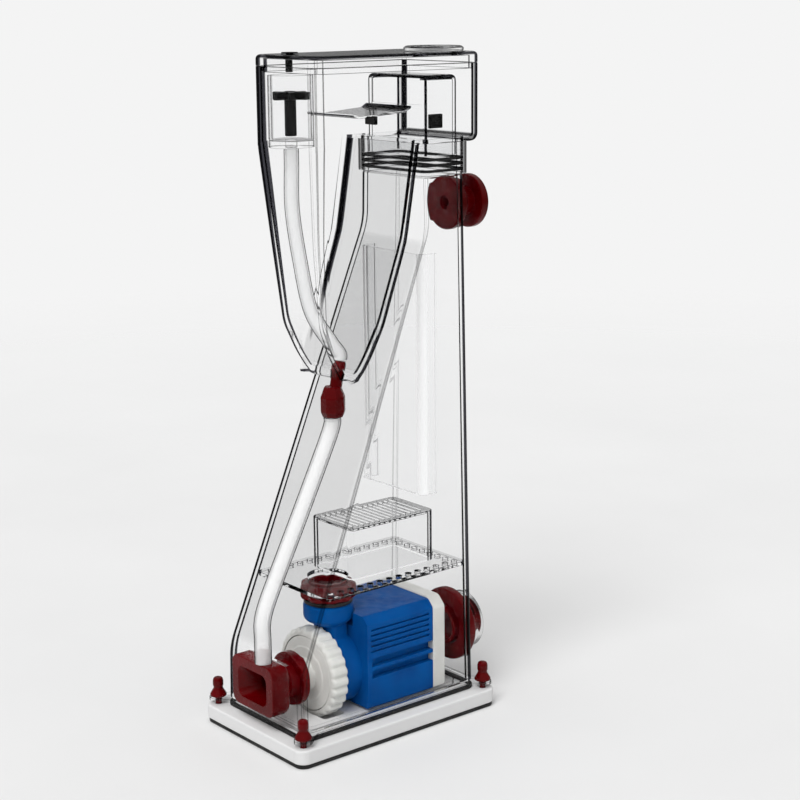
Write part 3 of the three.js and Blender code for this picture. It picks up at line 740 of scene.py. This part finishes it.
def make_partitions():
    low, high = box("riser_baffle")
    wall, bend = 3, 8
    corners = [(high.x, low.y), (low.x, low.y), (low.x, high.y), (high.x, high.y)]
    inner_corners = [(high.x, high.y - wall), (low.x + wall, high.y - wall), (low.x + wall, low.y + wall),
                     (high.x, low.y + wall)]
    line = rounded(corners, bend, closed=False, steps=8)
    line += rounded(inner_corners, bend - wall, closed=False, steps=8)
    show("baffle_sheet", eased(prism(line, low.z, high.z), 0.5), "riser_baffle", kind="channel")
    low, high = box("bubble_plate")
    union = middle("outlet_nozzle")
    hole, pitch = 2.6, 10
    holes = [circle(union.x, union.y, 16.4, 48)]
    for i in range(1, 15):
        holes += [circle(low.x + i * pitch, side * (high.y - 7), hole, 20) for side in (-1, 1)]
    holes += [circle(high.x - 8.4, i * pitch, hole, 20) for i in range(-3, 4)]
    plate = sheet([drawn_in("bubble_plate", 0, 6), *holes], low.z, high.z, 0.4)
    show("bubble_sheet", plate, "bubble_plate", kind="plate")


BOX_WALL = 2.5


def capped_wall(node, radius, top_ease):
    """An open-bottomed box with rounded edges, its roof as thick as its walls."""
    low, high = box(node)
    ceiling = high.z - BOX_WALL
    side = rounded([(12, ceiling), (BOX_WALL, ceiling), (BOX_WALL, low.z)], top_ease * 0.5, closed=False)
    side += rounded([(0, low.z), (0, high.z), (12, high.z)], top_ease, closed=False)
    return slab(side, lambda inset: drawn_in(node, inset, max(radius - inset * 0.8, 0.5)))


def make_boxes():
    low, high = box("diffuser_box")
    slots = []
    x = low.x + 6
    while x < high.x - 5:
        slots.append(prism(rectangle(x - 1.2, x + 1.2, -21, 21, 1.1, 4), high.z - 4, high.z + 2))
        x += 5.5
    cover = carved(capped_wall("diffuser_box", 6, 1.0), merged(*slots))
    show("diffuser_cover", cover, "diffuser_box", kind="case")
    low, high = box("foam_riser")
    window = brick(low.x - 5, low.x + 7, -30, 30, 504, high.z - BOX_WALL)
    show("riser_cover", carved(capped_wall("foam_riser", 4, 5), window), "foam_riser", kind="box")
    for side in ("far", "near"):
        show(f"clip_{side}", eased(block(f"riser_clip_{side}"), 0.6), f"riser_clip_{side}")


# ---- pump ----------------------------------------
AXIS_Z = 47
OUTLET_X = -23
GROOVES = [66.5 + i * 4.6 for i in range(5)]  # heights of the grooves in the motor's sides
SIDE_POCKETS = ((53, 60.5), (43, 50))


def side_outline(half, low, high, chamfer):
    """Section of the motor across the body, as (y, z) pairs."""
    return [(-half, low), (half, low), (half, high - chamfer), (half - chamfer, high),
            (chamfer - half, high), (-half, high - chamfer)]


def make_motor():
    low, high = box("motor_housing")
    half = high.y
    hull = prism_x(rounded(side_outline(half, low.z, high.z, 6), 1.4), low.x, high.x)
    tools = []
    for side in (-1, 1):
        face = side * half
        for z in GROOVES:
            tools.append(brick(low.x + 4, high.x - 4, face - 1.9, face + 1.9, z - 0.8, z + 0.8))
        for bottom, top in SIDE_POCKETS:
            tools.append(brick(low.x + 5, high.x + 2, face - 6, face + 6, bottom, top))
    channel = [rod_x(0, AXIS_Z, 17, low.x - 1, 40), rod(OUTLET_X, 0, 21.4, 84.6, high.z + 2, 64)]
    show("motor_body", eased(carved(hull, merged(*tools), *channel), 0.7), "motor_housing")
    low, high = box("motor_end_cap")
    cap = prism_x(rounded(side_outline(high.y, low.z, high.z, 8), 2.4), low.x, high.x)
    step = prism_x(rounded(side_outline(high.y - 6, low.z + 6, high.z - 6, 7), 2), high.x - 1.6, high.x + 2)
    show("motor_cover", eased(carved(cap, step), 1.1), "motor_end_cap")
    show("motor_feet", eased(block("motor_pads"), 0.4), "motor_pads")


def make_volute():
    low, high = box("pump_volute")
    drum = turned(tube_profile(0.5, 31, low.x, high.x), (0, AXIS_Z), "x", ease=3)
    front, back = box("volute_ring")[1].x + 0.6, box("motor_housing")[0].x - 0.6
    neck = eased(brick(front, back, -14.5, 14.5, 62, 88), 4, 5)
    collar = knob([(0, 84.5), (14, 85.5), (20.5, 91), (20.5, high.z), (0, high.z)], (OUTLET_X, 0), ease=2)
    skin = melted(merged(drum, neck, collar), voxel=0.8, passes=10)
    room = rod_x(0, AXIS_Z, 27, low.x - 2, -18)
    throat = rod_x(0, AXIS_Z, 14.5, -20, high.x + 2)
    mouth = rod(OUTLET_X, 0, 13, 90, high.z + 2)
    bore = rod(OUTLET_X, 0, 6, 58, 92)
    show("volute_body", carved(skin, room, throat, mouth, bore), "pump_volute")


def lobed(lobes, outer, depth, sharpness, per_lobe=16):
    """Outline of a grip ring, as (radius, angle) pairs."""
    count = lobes * per_lobe
    return [(outer - depth * (0.5 - 0.5 * math.cos(2 * math.pi * k / per_lobe)) ** sharpness,
             2 * math.pi * k / count) for k in range(count)]


def grip_ring(rim, bore, section, place):
    """A ring with a lobed rim. Section is [share of the lobes, inset, height] from one face to the other."""
    least = min(radius for radius, _ in rim)
    loops = []
    for share, inset, height in section:
        radii = [(least + (r - least) * share - inset, a) for r, a in rim]
        loops.append([place(r * math.cos(a), r * math.sin(a), height) for r, a in radii])
    for height in (section[-1][2], section[0][2]):
        loops.append([place(bore * math.cos(a), bore * math.sin(a), height) for _, a in rim])
    return loft(loops, closed=True)


def make_rings():
    low, high = box("volute_ring")
    section = [(0.35, 2.2, low.x), (0.55, 0.9, low.x + 0.7), (0.9, 0.15, low.x + 2), (1, 0, low.x + 3.2),
               (1, 0, high.x - 2.6), (0.9, 0.2, high.x - 1.4), (0.5, 1.2, high.x - 0.4), (0.3, 2, high.x)]
    ring = grip_ring(lobed(26, 37.5, 2.1, 2), 31.6, section, lambda a, b, x: (x, a, AXIS_Z + b))
    show("clamp_ring", ring, "volute_ring")
    low, high = box("volute_cover")
    profile = [(10, low.x), (14, low.x), (14, -48.2), (22, -48), (23, -47.4), (31, -46.8), (31, high.x),
               (10, high.x)]
    show("pump_cover", turned(profile, (0, AXIS_Z), "x", ease=0.8), "volute_cover")
    low, high = box("union_nut")
    section = [(0.4, 1.6, low.z), (0.85, 0.4, low.z + 0.9), (1, 0, low.z + 2.2), (1, 0, high.z - 2.6),
               (0.9, 0.3, high.z - 1.2), (0.6, 1.2, high.z - 0.3), (0.3, 2.4, high.z)]
    nut = grip_ring(lobed(9, 23, 3, 1.4, 24), 16.2, section, lambda a, b, z: (OUTLET_X + a, b, z))
    show("union_ring", nut, "union_nut")
    show_tube("nozzle_pipe", "outlet_nozzle", 12.5, 15.7, (OUTLET_X, 0))
    show_tube("union_washer", "union_seal", 16.4, 20, (OUTLET_X, 0))


BELL = {"straight": -86, "round": -72, "z": 50, "width": 56, "height": 42, "wall": 7.5, "bore": 10,
        "pipe": 16}
MOUTH = (BELL["width"] / 2, BELL["height"] / 2)
ROUND = 0.999  # corner radius over half width of a section that counts as round
AIR = {"x": -95.7, "y": -9}
SPIGOT = {"x": -16.6, "z": 294, "lean": 0.18}  # the cup's; its lean is in radians


def bell_section(x, half_width, half_height, radius, centre_z):
    outline = rectangle(-half_width, half_width, -half_height, half_height, radius)
    return [(x, y, centre_z + z) for y, z in outline]


def flare(x, mouth, corner, pipe, share):
    """Section between a square mouth and a round pipe; share is how far it is towards the pipe."""
    half_w, half_h = (half * (1 - share) + pipe * share for half in mouth)
    radius = corner * (1 - share) + pipe * share * ROUND
    return bell_section(x, half_w, half_h, radius, BELL["z"] * (1 - share) + AXIS_Z * share)


def bell_skin(pipe, mouth_x, back_x):
    """Loops from the square mouth to the round pipe."""
    loops = [bell_section(mouth_x + d, MOUTH[0] - e, MOUTH[1] - e, 8 - e, BELL["z"])
             for d, e in ((0, 1.2), (0.35, 0.4), (1.2, 0))]
    for step in range(13):
        t = step / 12
        x = BELL["straight"] + (BELL["round"] - BELL["straight"]) * t
        loops.append(flare(x, MOUTH, 8, pipe, t * t * (3 - 2 * t)))
    return [*loops, flare(back_x, MOUTH, 8, pipe, 1)]


def make_inlet():
    low, high = box("inlet_bell")
    hull = loft(bell_skin(BELL["pipe"], low.x, high.x))
    inside = [half - BELL["wall"] for half in MOUTH]
    start, end = low.x - 1, -84
    funnel = []
    for step in range(15):
        t = step / 14
        funnel.append(flare(start + (end - start) * t, inside, 6, BELL["bore"], t ** 0.8))
    funnel.append(flare(high.x + 2, inside, 6, BELL["bore"], 1))
    air_pipe = rod(AIR["x"], AIR["y"], 5, BELL["z"] + MOUTH[1] - 3, high.z)
    air_bore = rod(AIR["x"], AIR["y"], 2.6, BELL["z"], high.z + 2)
    body = carved(carved(hull, air_pipe, operation="UNION"), loft(funnel), air_bore)
    show("bell_mouth", eased(body, 0.7), "inlet_bell")
    show_tube("bell_flange", "inlet_flange", 10, 22, (0, AXIS_Z), "x", ease=1.4)


# ---- air line and cup ----------------------------
SILENCER = middle("silencer_chamber")


def make_air_line():
    y, bell_top = AIR["y"], BELL["z"] + MOUTH[1] + GAP
    show("air_tube_lower", hose([
        (-22.5, y, 260.5), (-22.6, y, 255), (-29, y, 240), (-54.5, y, 190), (-80, y, 141), (-91.5, y, 118),
        (AIR["x"], y, 104), (AIR["x"], y, 90), (AIR["x"], y, bell_top)], outer=7, inner=5.3),
         "lower_air_tube")
    x, y, start = SILENCER.x, SILENCER.y, box("silencer_base")[0].z - GAP
    show("air_tube_upper", hose([
        (x, y, start), (x, y, 460), (-35, 21, 425), (-33, 15, 385), (-29, 7, 345), (-20, -5, 321),
        (-14.6, AIR["y"], 311), (-14.4, AIR["y"], 306.8)], outer=6, inner=4.4), "upper_air_tube")


VESSEL = (  # height, front, half width in front, back, half width at the back
    (291, -20, 22, -12, 34), (297, -25, 24, -8.5, 38), (312, -34, 26, -3, 43),
    (335, -44, 29, 7.5, 45.5), (400, -51, 35, 31, 46.2), (474.7, -57, 44, 44, 46.5),
)
CUP = {"wall": 3, "front_half": 44, "front_radius": 13, "back_radius": 9, "vessel_radius": 10, "bend": 6}


def vessel_at(z):
    """Front, front half, back and back half of the vessel at a height."""
    for low, high in zip(VESSEL, VESSEL[1:]):
        if z <= high[0]:
            break
    t = (z - low[0]) / (high[0] - low[0])
    return [a + (b - a) * t for a, b in zip(low[1:], high[1:])]


def vessel_outline(z, inset):
    """The vessel's section, with its slopes running softly into each other."""
    rows = [vessel_at(min(max(z + shift, VESSEL[0][0]), VESSEL[-1][0])) for shift in (-4, 0, 4)]
    front, front_half, back, back_half = (sum(row[i] for row in rows) / 3 for i in range(4))
    rise = (z - VESSEL[0][0]) / (VESSEL[-1][0] - VESSEL[0][0])
    radius = 4 + (CUP["front_radius"] - 4) * rise
    return planform(front + inset, front_half - inset, radius - inset * 0.6, back - inset, back_half - inset,
                    CUP["vessel_radius"] - inset * 0.6)


def cup_outline(inset, back_inset=0.0):
    low, high = box("cup_wall")
    return planform(low.x + inset, CUP["front_half"] - inset, max(CUP["front_radius"] - inset * 0.8, 1),
                    high.x - inset - back_inset, high.y - inset, max(CUP["back_radius"] - inset * 0.8, 1))


def cup_back(z0, inset):
    """The floor's bend into the back wall, as loops from the floor up."""
    loops, bend = [], CUP["bend"] - inset
    for step in range(7):
        angle = math.radians(15 * step)
        outline = cup_outline(inset, bend * (1 - math.sin(angle)))
        loops.append(raised(outline, z0 + bend * (1 - math.cos(angle))))
    return loops


def make_cup():
    """Vessel, floor and wall of the cup are one bonded shell, so its front and sides run straight down."""
    floor_low, floor_high = box("cup_floor")
    rim = box("cup_wall")[1].z
    wall, ease = CUP["wall"], 0.5
    heights = [292.4, 294, 296, *range(299, 345, 4), *range(350, 470, 10), 472, floor_low.z]
    outer = [raised(vessel_outline(VESSEL[0][0], 1.5), VESSEL[0][0])]
    outer += [raised(vessel_outline(z, 0), z) for z in heights]
    outer += [*cup_back(floor_low.z, 0), raised(cup_outline(0), rim - ease), raised(cup_outline(ease), rim)]
    inner = [raised(cup_outline(wall - ease), rim), raised(cup_outline(wall), rim - ease)]
    inner += reversed(cup_back(floor_high.z, wall))
    inner += [raised(vessel_outline(z, wall), z + wall) for z in reversed(heights[2:])]
    shell = loft([*outer, *inner])
    throat = prism(neck_outline(-1.1), floor_low.z - 1, floor_high.z + 2)
    shell = carved(shell, throat, spigot(5.4, -20, 10))
    mark_corners(shell)
    show("cup_shell", shell, "collection_vessel", "cup_wall", "cup_floor", kind="vessel")
    low, high = box("cup_socket")
    section = rounded([(0, low.z), (0, high.z), (2.5, high.z), (2.5, low.z)], 0.5)
    sleeve = ring_wall(section, lambda inset: neck_outline(inset - 3.6))
    show("socket_sleeve", sleeve, "cup_socket", kind="sleeve")


def make_ramp():
    low, high = box("foam_ramp")
    top = [(low.x, 500), (-5, 497.5), (40, 500.5), (high.x, high.z)]
    line = rounded([*top, (high.x, high.z - 2), (40, 498.8), (-6, low.z), (low.x + 0.6, 498)], 1.2)
    show("ramp_sheet", loft([[(x, y, z) for x, z in line] for y in (low.y, high.y)]), "foam_ramp", kind="box")


def make_silencer():
    centre = (SILENCER.x, SILENCER.y)
    show_tube("silencer_tube", "silencer_chamber", 15.2, 17.5, centre, kind="round")
    show_tube("silencer_floor", "silencer_base", 4.5, 17.5, centre, kind="round")
    low, high = box("silencer_core")
    stem = knob([(0, low.z), (4.6, low.z), (4.6, high.z), (0, high.z)], centre, ease=0.7, segments=48)
    arms = []
    for i in range(3):
        turn = Matrix.Rotation(i * math.pi / 3, 4, "Z")
        arm = brick(-14, 14, -2.4, 2.4, 510, 516)
        arm.transform(Matrix.Translation((centre[0] * MM, centre[1] * MM, 0)) @ turn)
        arms.append(arm)
    core = carved(stem, *arms, operation="UNION")
    show("silencer_rod", eased(core, 0.4), "silencer_core")


def spigot(radius, start, end):
    """The slanted spigot through the vessel's floor."""
    mesh = rod(0, 0, radius, start, end)
    spot = Matrix.Translation(Vector((SPIGOT["x"], AIR["y"], SPIGOT["z"])) * MM)
    mesh.transform(spot @ Matrix.Rotation(SPIGOT["lean"], 4, "Y"))
    return mesh


def make_elbow():
    low, _ = box("air_elbow")
    profile = [(0, low.z), (8.5, low.z), (10.3, 265), (10.3, 277), (7, 285.5), (0, 285.5)]
    knuckle = knob(profile, (0, 0), ease=0.8, segments=8)
    spot = Matrix.Translation(Vector((-21.5, AIR["y"], 0)) * MM)
    knuckle.transform(spot @ Matrix.Rotation(math.pi / 8, 4, "Z"))
    body = carved(eased(knuckle, 0.8), spigot(4.9, -16, 11.3), operation="UNION")
    show("elbow_block", carved(body, rod(-22.3, AIR["y"], 3, 255, 275), spigot(3, -22, 13)), "air_elbow")


def make_lid():
    """A shallow tray turned upside down, its lip inside the cup's wall."""
    low, high = box("lid")
    cap, valve = middle("lid_cap"), middle("air_valve_knob")
    rim, inside = box("cup_wall")[1].z + GAP, high.z - 3.2
    top = rounded([(20, high.z), (0, high.z), (0, rim)], 6, closed=False, steps=10)
    lip = [(0, rim), (3.5, rim), (3.5, low.z), (6, low.z), (6, inside), (20, inside)]
    tray = slab([*top, *rounded(lip, 0.5, closed=False)[1:]], cup_outline)
    holes = [rod(cap.x, cap.y, 19, low.z, high.z + 5, 96), rod(valve.x, valve.y, 3.3, low.z, high.z + 5)]
    show("lid_tray", carved(tray, *holes), "lid", kind="lid")
    low_cap, high_cap = box("lid_cap")
    seat = high.z + GAP
    profile = [(0, low_cap.z), (18.6, low_cap.z), (18.6, seat), (24, seat), (24, high_cap.z - 1.4),
               (22, high_cap.z), (17, high_cap.z), (16, high_cap.z - 0.8), (0, high_cap.z - 0.8)]
    show("cap_disc", knob(profile, (cap.x, cap.y), ease=0.7, segments=128), "lid_cap", kind="round")
    low, high = box("air_valve_knob")
    profile = [(0, low.z), (2.8, low.z), (2.8, seat), (6.5, seat), (6.5, high.z), (0, high.z)]
    show("valve_knob", knob(profile, (valve.x, valve.y), ease=0.5, segments=64), "air_valve_knob")


# ---- rear fittings -------------------------------
def make_rear():
    level = middle("level_flange")
    centre = (level.y, level.z)
    port = rod(102, level.y, 2, level.z - 20, level.z)
    flange = [(5.5, 91.3), (21, 91.3), (22, 92.3), (22, 97), (21, 98), (12, 98), (11, 106), (5.5, 106)]
    show("level_disc", carved(turned(flange, centre, "x", ease=0.8), port), "level_flange")
    low, high = box("level_knob")
    profile = [(0, low.x), (5.1, low.x), (5.1, 106.4), (12, 106.4), (12, 114), (21, 114), (22, 115),
               (22, 120), (21, high.x), (0, high.x)]
    wheel = carved(knob(profile, centre, "x", ease=0.8), rod_x(level.y, level.z, 4, low.x - 1, 108, 32), port)
    show("level_wheel", wheel, "level_knob")
    drain = middle("outlet_pipe")
    centre = (drain.y, drain.z)
    show_tube("drain_pipe", "outlet_pipe", 13.5, 16.8, centre, "x", ease=1.2)
    show_tube("drain_flange", "outlet_flange", 17.1, 31.5, centre, "x", ease=2.2)
    show_tube("drain_nut", "outlet_nut", 17.1, 25, centre, "x", ease=1.4, kind="round")
    gland = middle("cable_gland")
    profile = [(2.6, 80), (8, 80), (8, 86.6), (4.9, 86.6), (4.9, 91.4), (8, 91.4), (8, 97), (5, 101),
               (2.6, 101)]
    show("gland_body", turned(profile, (gland.y, gland.z), "x", ease=0.5, segments=48), "cable_gland")


make_base()
make_thumb_screws()
make_body()
make_neck()
make_partitions()
make_boxes()
make_motor()
make_volute()
make_rings()
make_inlet()
make_air_line()
make_cup()
make_ramp()
make_silencer()
make_elbow()
make_lid()
make_rear()

for node, obj in frame["nodes"].items():
    obj.data.materials.clear()
    obj.data.materials.append(LOOKS[SLOT_OF[node]])

# ---- floor, world and lamps ----------------------
BACKGROUND = (0.905, 0.905, 0.905, 1)
SKY = ((0.0, 0.16), (0.75, 0.72))  # height of a direction, and how bright the light from there is
FLOOR_HALF = 3000
FLOOR_FADE = (0.7, 2.2)  # metres from the middle where the floor starts to fade, and where it is gone


def add_floor():
    """A pale ground that fades out round the object."""
    n = Nodes(bpy.data.materials.new("floor"))
    paint = n.add("ShaderNodeBsdfPrincipled", Roughness=0.7)
    colour = n.blend(n.span(n.noise(3, 3), 0, 1), (0.76, 0.76, 0.76), (0.79, 0.79, 0.79))
    n.join(colour, paint.inputs["Base Color"])
    place = n.add("ShaderNodeTexCoord")
    reach = n.add("ShaderNodeVectorMath", operation="LENGTH")
    n.join(place.outputs["Object"], reach.inputs[0])
    fade = n.span(reach.outputs["Value"], 0, 1, *FLOOR_FADE)
    mesh = mesh_of([(x * FLOOR_HALF, y * FLOOR_HALF, 0) for x, y in SQUARE], [(0, 1, 2, 3)])
    mesh.materials.append(n.surface(paint, n.add("ShaderNodeBsdfTransparent"), fade))
    floor = bpy.data.objects.new("floor", mesh)
    floor.location.z = -0.2 * MM
    scene.collection.objects.link(floor)


def add_world():
    """Pale all round for the eye. Its light is bright above, and dim at the sides and below."""
    scene.world = bpy.data.worlds.new("studio")
    n = Nodes(scene.world, "ShaderNodeOutputWorld")
    ramp = n.add("ShaderNodeValToRGB")
    for element, (height, grey) in zip(ramp.color_ramp.elements, SKY):
        element.position, element.color = height, (grey, grey, grey, 1)
    n.join(n.parts("Generated")[2], ramp.inputs[0])
    light = n.add("ShaderNodeBackground")
    n.join(ramp.outputs[0], light.inputs["Color"])
    seen = n.add("ShaderNodeBackground", Color=BACKGROUND)
    path = n.add("ShaderNodeLightPath")
    n.surface(light, seen, n.most(path.outputs["Is Camera Ray"], path.outputs["Is Transmission Ray"]))


def add_sun(name, toward, spread, strength):
    """A far lamp, as strong everywhere; toward points at it, and spread is its angle across in degrees."""
    data = bpy.data.lights.new(name, "SUN")
    data.angle, data.energy = math.radians(spread), strength
    lamp = bpy.data.objects.new(name, data)
    lamp.rotation_mode = "QUATERNION"
    lamp.rotation_quaternion = (-Vector(toward)).to_track_quat("-Z", "Y")
    lamp.visible_glossy = lamp.visible_transmission = False
    scene.collection.objects.link(lamp)


add_floor()
add_world()
add_sun("key", toward=(-1.2, -0.6, 1.9), spread=30, strength=2.0)
scene.view_settings.view_transform = "Standard"
